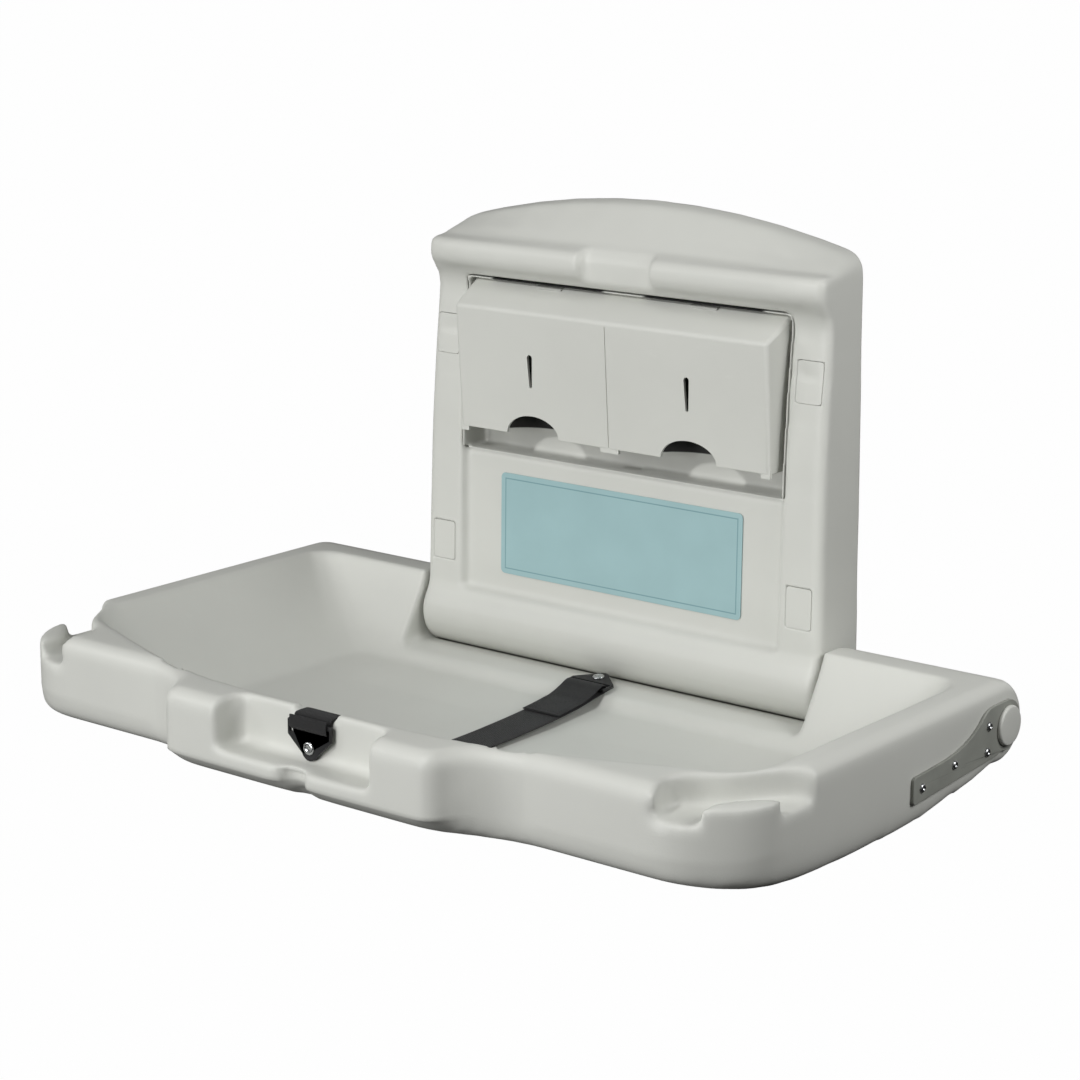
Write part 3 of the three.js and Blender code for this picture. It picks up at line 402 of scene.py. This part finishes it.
for name in covers:
    cover = cover_block(name, 0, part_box(name)[0][1] + cover_deep)
    cover = carved(housing.copy(), cover, "INTERSECT")
    piece(name.replace("screw_cover", "flush_cover"), cover, grey, "back_unit", "body_plastic", name,
          crease=0.6)
    housing = carved(housing, cover_block(name, cover_gap, pocket_back))
piece("housing", housing, grey, "back_unit", "body_plastic", "back_shell")

# Liner hopper: a thin moulded box set in the bay behind the door. Its flat ledge shows below the door,
# with a small slot in the middle. Above two low arches behind the notches the inside is painted near black,
# as painted shade for the deep unlit compartment.
painted_shade_low, hopper_voxel, snug = 0.203, 0.0021, 1.004
hopper_painted_shade = moulded("painted_shade_grey", srgb(208, 209, 203), painted_shade_low)
hopper = rounded(merged_copy("liner_hopper"), hopper_voxel, 2)
bmesh.ops.scale(hopper, verts=hopper.verts, vec=(snug, 1, 1))
piece("hopper_box", hopper, hopper_painted_shade, "back_unit", "body_plastic", "liner_hopper")


# Liner door: a leaning moulded cover with a sloped top, open behind and below. It has two teardrop
# sight slots, a groove down the middle, two half-moon finger notches and three small feet. Two short
# tabs show above it, where it hangs.
door_low, notch_x = 0.205, 0.0955


def door_skin():
    """A bent sheet, a little wider at the wall than at its ridge."""
    wall_y, ridge_y, low_y = -0.0420, -0.0845, -0.075
    wall_z, ridge_z = 0.3558, 0.331
    head_half, foot_half, ridge_half = 0.193, 0.190, 0.189
    bend, sheet, edge = 0.0035, 0.003, 0.0006
    made = bmesh.new()
    bmesh.ops.create_cube(made, size=2)
    for v in made.verts:
        side, front, top = v.co
        if front > 0:
            v.co = (side * (head_half if top > 0 else foot_half), wall_y, wall_z if top > 0 else door_low)
        else:
            v.co = (side * ridge_half, ridge_y if top > 0 else low_y, ridge_z if top > 0 else door_low)
    for face in [f for f in made.faces if f.normal.y > 0.9 or f.normal.z < -0.9]:
        made.faces.remove(face)
    bent = [e for e in made.edges if len(e.link_faces) == 2]
    bmesh.ops.bevel(made, geom=bent, offset=bend, segments=4, profile=0.5, affect="EDGES", material=-1)
    bmesh.ops.solidify(made, geom=made.faces[:], thickness=sheet)
    bmesh.ops.recalc_face_normals(made, faces=made.faces)
    rim = [e for e in made.edges if e.calc_face_angle(0) > 1.2]
    bmesh.ops.bevel(made, geom=rim, offset=edge, segments=2, profile=0.5, affect="EDGES", material=-1)
    framed_faces(made)
    return made


def drop_slot(x):
    """A cutter with a round head and a narrow tail."""
    radius, head_z, tail_z, tail_width = 0.0032, 0.2850, 0.2545, 0.55
    made = bmesh.new()
    bmesh.ops.create_circle(made, cap_ends=True, segments=24, radius=radius)
    bmesh.ops.translate(made, verts=made.verts, vec=(0, head_z, 0))
    for v in [v for v in made.verts if v.co.y < head_z - 0.0001]:
        v.co.y = tail_z + (v.co.y - head_z + radius) * 0.4
        v.co.x *= tail_width
    out = bmesh.ops.extrude_face_region(made, geom=made.faces[:])
    bmesh.ops.translate(made, verts=grown_verts(out), vec=(0, 0, 0.06))
    bmesh.ops.rotate(made, verts=made.verts, matrix=Matrix.Rotation(math.pi / 2, 3, "X"))
    bmesh.ops.translate(made, verts=made.verts, vec=(x, -0.04, 0))
    bmesh.ops.recalc_face_normals(made, faces=made.faces)
    return made


def half_moon(x):
    """A cutter for a finger notch, an ellipse centred on the door's lower edge."""
    half_width, height, reach = 0.033, 0.0205, 0.08
    made = bmesh.new()
    bmesh.ops.create_cone(made, cap_ends=True, segments=48, radius1=1, radius2=1, depth=reach)
    bmesh.ops.rotate(made, verts=made.verts, matrix=Matrix.Rotation(math.pi / 2, 3, "X"))
    bmesh.ops.scale(made, verts=made.verts, vec=(half_width, 1, height))
    bmesh.ops.translate(made, verts=made.verts, vec=(x, -0.075, door_low))
    return made


door = door_skin()
groove_half, groove_top = 0.0008, 0.327
groove_low_y, groove_top_y = -0.0730, -0.0834
groove = block((-groove_half, -0.1, 0.19), (groove_half, groove_low_y, groove_top))
for v in groove.verts:
    if v.co.y > -0.09 and v.co.z > 0.25:
        v.co.y = groove_top_y
for tool in (drop_slot(-notch_x), drop_slot(notch_x), half_moon(-notch_x), half_moon(notch_x), groove):
    door = carved(door, tool)
foot_front, foot_back, foot_corner = -0.0745, -0.071, 0.001
foot_low, foot_top = 0.2005, 0.212
for x, wide in ((-0.184, 0.010), (0, 0.022), (0.184, 0.010)):
    foot = block((x - wide / 2, foot_front, foot_low), (x + wide / 2, foot_back, foot_top), foot_corner)
    door = carved(door, foot, "UNION")
piece("hinged_door", door, grey, "back_unit", "body_plastic", "liner_door", crease=0.6)
# The tabs take a darker grey than the body plastic, as painted shade for the shadow they sit in under the
# lip.
tab_grey_painted_shade = moulded("tab_grey_painted_shade", srgb(172, 173, 168))
tab_half, tab_front, tab_back = 0.0155, -0.0525, -0.0380
tab_low, tab_top, tab_front_top = 0.345, 0.3570, 0.3520
for name, x in (("left", -0.094), ("right", 0.094)):
    tab = block((x - tab_half, tab_front, tab_low), (x + tab_half, tab_back, tab_top))
    for v in tab.verts:
        if v.co.y < -0.05 and v.co.z > 0.35:
            v.co.z = tab_front_top
    piece("door_tab_" + name, tab, tab_grey_painted_shade, "back_unit", "body_plastic", "door_hinge_" + name,
          crease=0.6)


# Label panel: a thin printed film on the flat of the recess. The print is left plain, a pale blue
# field inside a narrow darker keyline.
def film(name, colour, line, low, high):
    material, wire = empty_material(name)
    where = wire.node("TexCoord", out=3)
    middle = [-(a + b) / 2 for a, b in zip(low, high)]
    centred = wire.node("Mapping", {"Vector": where, "Location": middle})
    split = wire.node("SeparateXYZ", {0: centred})
    across = split.math("ABSOLUTE", split)
    upward = Wire(wire.tree, split.socket.node.outputs[2])
    upward = upward.math("ABSOLUTE", upward)
    edge = wire.math("MAXIMUM", across - (high[0] - low[0]) / 2, upward - (high[2] - low[2]) / 2)
    line_starts, line_ends = (-0.0064, -0.0062), (-0.0052, -0.0050)
    keyline = edge.ramp(*line_starts) * (1 - edge.ramp(*line_ends))
    speckle = wire.node("TexNoise", {"Vector": where, "Scale": 1500.0, "Detail": 2.0})
    cloud = wire.node("TexNoise", {"Vector": where, "Scale": 22.0, "Detail": 3.0})
    tint = cloud.ramp(0.3, 0.7).mix(tuple(c * 0.95 for c in colour[:3]) + (1,), colour)
    tint = keyline.mix(tint, line)
    bump = wire.node("Bump", {"Height": speckle, "Strength": 0.12, "Distance": 0.0001})
    shader = wire.node("BsdfPrincipled", {
        "Base Color": tint, "Roughness": 0.38 + cloud * 0.1, "Normal": bump})
    wire.node("OutputMaterial", {0: shader})
    return material


film_thick, film_corner = 0.0006, 0.005
low, high = (Vector(c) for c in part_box("label_panel"))
label = block(low, high, film_corner, segments=6)
foot_y, head_y = low.y, high.y - film_thick
for v in label.verts:
    share = (v.co.z - low.z) / (high.z - low.z)
    behind = v.co.y > (low.y + high.y) / 2
    v.co.y = foot_y + share * (head_y - foot_y) + (film_thick if behind else 0)
blue = film("label_film", srgb(156, 188, 191), srgb(118, 154, 160), low, high)
piece("blank_label", label, blue, "back_unit", "label_film", "label_panel", crease=0.6)

# Inside the barrel: nylon bushes and damper rotor, a black damper housing, rubber stop blocks and the
# steel arms that meet them. None of it shows with the unit closed up.
nylon = moulded("natural_nylon", srgb(232, 230, 220))
black = moulded("black_plastic", srgb(30, 30, 31))
rubber = moulded("stop_rubber", srgb(40, 40, 40))
wear(nylon, "shaft_bush_left", "shaft_bush_right", "damper_rotor")
wear(black, "damper_housing")
wear(rubber, "stop_block_left", "stop_block_right")
wear(zinc, "stop_arm_left", "stop_arm_right", "hinge_shaft", "backing_plate_left", "backing_plate_right")


# Bed tray: one large blow-moulded basin with a rolled rim, two hinge ears, the nose with its hand grip
# and two bag hooks at the front corners. The bores and the hatch below are closed for the rounding,
# because other pieces cover them. Its bottom edge has a larger radius than the rest.
def bar(radius, low, high, y, z):
    made = bmesh.new()
    bmesh.ops.create_cone(made, cap_ends=True, segments=32, radius1=radius, radius2=radius, depth=high - low)
    bmesh.ops.rotate(made, verts=made.verts, matrix=Matrix.Rotation(math.pi / 2, 3, "Y"))
    bmesh.ops.translate(made, verts=made.verts, vec=((low + high) / 2, y, z))
    return made


def sunk(bm):
    """The lower part in front drawn down a little, to make up for the rounding of the bottom edge."""
    sink, start_z, blend_z, start_y, blend_y = 0.0035, -0.02, 0.03, -0.13, 0.06
    for v in bm.verts:
        low_share = min(1, max(0, (start_z - v.co.z) / blend_z))
        front_share = min(1, max(0, (start_y - v.co.y) / blend_y))
        v.co.z -= sink * (low_share * front_share)
    return bm


axis_y, shaft_bore, rivet_bore = -0.042, 0.016, 0.006
rivet_places = ((-0.191, -0.021), (-0.136, -0.014), (-0.076, 0.007), (-0.078, -0.017))
hatch = block((-0.402, -0.330, -0.0553), (0.402, -0.182, -0.0480))
front_bore = block((-0.004, -0.5015, 0.003), (0.004, -0.494, 0.011))
rear_bore = block((-0.004, -0.092, -0.040), (0.004, -0.084, -0.0324))
fills = [hatch, front_bore, rear_bore]
for side in (-1, 1):
    shaft_reach = sorted((side * 0.2476, side * 0.4294))
    rivet_reach = sorted((side * 0.412, side * 0.4296))
    fills.append(bar(shaft_bore, *shaft_reach, axis_y, 0))
    for y, z in rivet_places:
        fills.append(bar(rivet_bore, *rivet_reach, y, z))
basin_voxel, panel_voxel = 0.0036, 0.0023
basin = outer_skin(rounded(joined(merged_copy("bed_tray"), *fills), basin_voxel, 3))
# Each stage of the bottom edge: how far back it begins, half its width and its rounds of smoothing.
edge_stages = ((-0.12, 0.5, 15), (-0.18, 0.5, 15), (-0.24, 0.5, 15),
               (-0.485, 0.21, 8), (-0.495, 0.20, 8), (-0.505, 0.19, 8))
for back_limit, half, rounds in edge_stages:
    low_edge = [v for v in basin.verts
                if v.co.z < -0.02 and v.normal.z < 0.35 and v.co.y < back_limit and abs(v.co.x) < half]
    eased(basin, low_edge, rounds)
hook_x, hook_y, hook_z = 0.335, -0.355, 0.002
hooks = [v for v in basin.verts if abs(v.co.x) > hook_x and v.co.y < hook_y and v.co.z > hook_z]
basin = sunk(eased(basin, hooks, 5))
basin.normal_update()
scallop_x, scallop_half, scallop_depth, scallop_blend = 0.001, 0.016, 0.006, 0.015
nose_y, nose_z = -0.5, -0.008
for v in basin.verts:
    share = 1 - ((v.co.x - scallop_x) / scallop_half) ** 2
    if share > 0 and v.co.y < nose_y and v.co.z < nose_z and v.normal.z < 0.5:
        v.co -= v.normal * scallop_depth * share * min(1, (nose_y - v.co.y) / scallop_blend)
piece("basin", basin, grey, "bed", "body_plastic", "bed_tray")
underside = sunk(rounded(merged_copy("bed_underside"), panel_voxel, 2))
piece("access_panel", underside, grey, "bed", "body_plastic", "bed_underside")


# Hinge plates: grey powder-coated steel, let onto the ends of the ears and held by four tubular rivets
# each. A light grey cap snaps over the end of the shaft.
def softened(name, width):
    """A copy of one node with its sharp edges rounded."""
    made = merged_copy(name)
    bmesh.ops.dissolve_limit(made, angle_limit=0.02, verts=made.verts, edges=made.edges)
    sharp = [e for e in made.edges if e.calc_face_angle(0) > 0.7]
    bmesh.ops.bevel(made, geom=sharp, offset=width, segments=2, profile=0.5, affect="EDGES", material=-1,
                    clamp_overlap=True)
    framed_faces(made)
    return made


def turned(profile, origin, direction, steps=40):
    """A profile of (radius, height) points spun about a direction."""
    made = bmesh.new()
    line = [made.verts.new((r, 0, h)) for r, h in profile]
    edges = [made.edges.new(pair) for pair in zip(line, line[1:])]
    bmesh.ops.spin(made, geom=line + edges, axis=(0, 0, 1), cent=(0, 0, 0), angle=2 * math.pi, steps=steps,
                   use_merge=True)
    bmesh.ops.remove_doubles(made, verts=made.verts, dist=0.000001)
    bmesh.ops.rotate(made, verts=made.verts, matrix=Vector(direction).to_track_quat("Z", "Y").to_matrix())
    bmesh.ops.translate(made, verts=made.verts, vec=origin)
    bmesh.ops.recalc_face_normals(made, faces=made.faces)
    return made


coated = metal("powder_coat", srgb(150, 152, 145), 0.55, 1400, metallic=0.0)
bright = metal("rivet_steel", srgb(214, 216, 217), 0.26, 1200)
rivet_form = ((0, -0.018), (0.0025, -0.018), (0.0025, 0), (0.0042, 0), (0.0042, 0.0005), (0.0039, 0.0012),
              (0.0033, 0.0018), (0.0025, 0.0021), (0.0019, 0.0021), (0.0016, 0.0017), (0.0014, 0.0008),
              (0, 0.0006))
cap_form = ((0, -0.012), (0.0095, -0.012), (0.0095, 0), (0.0185, 0), (0.0190, 0.0005), (0.0190, 0.0022),
            (0.0186, 0.0033), (0.0177, 0.0040), (0.0165, 0.0043), (0.008, 0.0044), (0, 0.0044))
plate_face, plate_edge = 0.43346, 0.0006
for name, side in (("left", -1), ("right", 1)):
    piece("plate_" + name, softened("hinge_plate_" + name, plate_edge), coated, "bed", "dark_steel",
          "hinge_plate_" + name, crease=0.6)
    face = side * plate_face
    for i, (y, z) in enumerate(rivet_places, 1):
        rivet = turned(rivet_form, (face, y, z), (side, 0, 0))
        piece(f"plate_rivet_{name}_{i}", rivet, bright, "bed", "steel", f"hinge_rivet_{name}_{i}")
    cap = turned(cap_form, (face, axis_y, 0), (side, 0, 0), 64)
    piece("shaft_cap_" + name, cap, grey, "bed", "body_plastic", "axle_cap_" + name)

# Strap anchors: black moulded plates, each with a bar for the webbing, on one steel rivet.
head_form = ((0, -0.0100), (0.0025, -0.0100), (0.0025, 0), (0.0060, 0), (0.0060, 0.0007), (0.0054, 0.0014),
             (0.0042, 0.0018), (0.0030, 0.0018), (0.0022, 0.0013), (0, 0.0011))
front_place, front_out = Vector((0, -0.502, 0.007)), Vector((0, -1, 0))
rear_place, rear_out = Vector((0, -0.088, -0.031936)), Vector((0, -0.117, 1)).normalized()
anchor_thick, anchor_edge = 0.00715, 0.0005
for name, place, out in (("front", front_place, front_out), ("rear", rear_place, rear_out)):
    plate = softened(name + "_anchor", anchor_edge)
    piece(name + "_strap_plate", plate, black, "bed", "black_plastic", name + "_anchor", crease=0.6)
    rivet = turned(head_form, place + out * anchor_thick, out)
    piece(name + "_strap_rivet", rivet, bright, "bed", "steel", name + "_anchor_rivet")


# Safety strap: one length of black polypropylene webbing. It runs from a folded and sewn loop on the
# rear plate, along the floor and up the front wall, and over the rim to the front plate.
def webbing(name):
    material, wire = empty_material(name)
    flat = wire.node("UVMap", uv_map="laid_flat")
    across = wire.node("SeparateXYZ", {0: flat})
    along = Wire(wire.tree, across.socket.node.outputs[1])
    rib_step, pick_step = 0.0017, 0.0021
    rib = across * (2 * math.pi / rib_step)
    pick = along * (2 * math.pi / pick_step)
    basket = rib.math("SINE", rib) * pick.math("SINE", pick)
    yarn = wire.math("SINE", across * 9000 + along * 3500)
    height = basket * 0.5 + 0.5 + yarn * 0.08
    dust = wire.node("TexNoise", {"Vector": flat, "Scale": 60.0, "Detail": 5.0, "Roughness": 0.7})
    base = height.ramp(0.1, 1.0).mix(srgb(9, 9, 10), srgb(22, 22, 23))
    tint = (dust.ramp(0.5, 0.85) * 0.3).mix(base, srgb(34, 34, 34))
    bump = wire.node("Bump", {"Height": height, "Strength": 0.8, "Distance": 0.0006})
    shader = wire.node("BsdfPrincipled", {
        "Base Color": tint, "Roughness": 0.62 + dust * 0.2, "Normal": bump, "Sheen Weight": 0.06})
    wire.node("OutputMaterial", {0: shader})
    return material


route = ((-0.182, -0.03894), (-0.166, -0.03764), (-0.15, -0.03594), (-0.14, -0.03469), (-0.131, -0.03224),
         (-0.122, -0.02911), (-0.114, -0.02591), (-0.1095, -0.02521), (-0.1058, -0.02671),
         (-0.1046, -0.02951), (-0.1062, -0.03211), (-0.112, -0.03311), (-0.124, -0.0349),
         (-0.14, -0.0374), (-0.16, -0.0396), (-0.188, -0.0416), (-0.233, -0.0436), (-0.268, -0.0445),
         (-0.308, -0.0446), (-0.405, -0.0446), (-0.423, -0.0442), (-0.4346, -0.04075),
         (-0.4412, -0.03344), (-0.4496, -0.02295), (-0.458, -0.01031), (-0.4676, 0.00431),
         (-0.4772, 0.01902), (-0.4838, 0.03054), (-0.486, 0.0344), (-0.492, 0.0353), (-0.498, 0.0353),
         (-0.5026, 0.0344), (-0.5039, 0.0305), (-0.5038, 0.0265), (-0.5048, 0.0236), (-0.5073, 0.0223),
         (-0.5099, 0.0238), (-0.5106, 0.027), (-0.5104, 0.031), (-0.5098, 0.035))
guide = bpy.data.curves.new("strap_run", "CURVE")
guide.dimensions = "3D"
guide.resolution_u = 10
run = guide.splines.new("BEZIER")
run.bezier_points.add(len(route) - 1)
for point, (y, z) in zip(run.bezier_points, route):
    point.co = (0, y, z)
    point.handle_left_type = point.handle_right_type = "AUTO"
guide_object = bpy.data.objects.new("strap_run", guide)
scene.collection.objects.link(guide_object)
bpy.context.view_layer.update()
guide_mesh = guide_object.to_mesh()
walked = [v.co.copy() for v in guide_mesh.vertices]
guide_object.to_mesh_clear()
bpy.data.objects.remove(guide_object)
strap_half, strap_thick, least_step = 0.022, 0.0017, 0.0009
points = [walked[0]]
for p in walked[1:]:
    if (p - points[-1]).length > least_step:
        points.append(p)


def frame_at(i):
    """The strap's normal and its direction at one point of the run."""
    forward = (points[min(i + 1, len(points) - 1)] - points[max(i - 1, 0)]).normalized()
    return Vector((0, -forward.z, forward.y)), forward


bm = bmesh.new()
ring = bmesh.ops.create_circle(bm, segments=40, radius=1)["verts"]
section = []
for v in ring:
    x, y, _ = v.co
    wide, thick = math.copysign(abs(x) ** 0.3, x), math.copysign(abs(y) ** 0.5, y)
    section.append((wide * strap_half, thick * strap_thick / 2))
rings = []
length = 0.0
marks = []
for i, p in enumerate(points):
    if i:
        edges = [e for e in bm.edges if e.verts[0] in set(ring) and e.verts[1] in set(ring)]
        pairs = {}
        for v in grown_verts(bmesh.ops.extrude_edge_only(bm, edges=edges)):
            pairs[min(range(len(ring)), key=lambda k: (ring[k].co - v.co).length)] = v
        ring = [pairs[k] for k in range(len(ring))]
        length += (p - points[i - 1]).length
    normal, _ = frame_at(i)
    for v, (x, h) in zip(ring, section):
        v.co = Vector((x, p.y, p.z)) + normal * h
    rings.append(ring)
    marks.append(length)
for end in (rings[0], rings[-1]):
    bmesh.ops.contextual_create(bm, geom=list(end))
bmesh.ops.recalc_face_normals(bm, faces=bm.faces)
laid = bm.loops.layers.uv.new("laid_flat")
place_of = {v: mark for ring, mark in zip(rings, marks) for v in ring}
for face in bm.faces:
    for loop in face.loops:
        loop[laid].uv = (loop.vert.co.x, place_of[loop.vert])
piece("strap", bm, webbing("black_webbing"), "bed", "webbing", "safety_strap")

# Sewing on the strap's rear fold: a box of stitches with a cross in it, in black thread.
thread = moulded("sewing_thread", srgb(34, 34, 36))
stitch_size = (0.0013, 0.0004, 0.00028)
bm = bmesh.new()


def stitch(x, along, lie_x, lie_along):
    """One stitch at a place across and along the strap, lying in a direction given the same way."""
    i = min(range(len(marks)), key=lambda k: abs(marks[k] - along))
    normal, forward = frame_at(i)
    if normal.z < 0:
        normal = -normal
    lie = (Vector((lie_x, 0, 0)) + forward * lie_along).normalized()
    made = bmesh.ops.create_icosphere(bm, subdivisions=1, radius=1)
    turn = Matrix((lie, normal.cross(lie), normal)).transposed().to_4x4()
    shape = Matrix.Diagonal((*stitch_size, 1))
    at = Vector((x, points[i].y, points[i].z)) + normal * strap_thick * 0.52 + forward * (along - marks[i])
    bmesh.ops.transform(bm, verts=made["verts"], matrix=Matrix.Translation(at) @ turn @ shape)


box_low, box_high, box_half = 0.006, 0.046, 0.017
steps_along, steps_across = 12, 11
for k in range(steps_along + 1):
    share = k / steps_along
    along = box_low + share * (box_high - box_low)
    for x in (-box_half, box_half):
        stitch(x, along, 0, 1)
    for side in (-1, 1):
        stitch(side * (share * 2 - 1) * box_half, along, side * 2 * box_half, box_high - box_low)
for k in range(1, steps_across):
    x = -box_half + k / steps_across * 2 * box_half
    for along in (box_low, box_high):
        stitch(x, along, 1, 0)
piece("strap_sewing", bm, thread, "bed", "webbing")
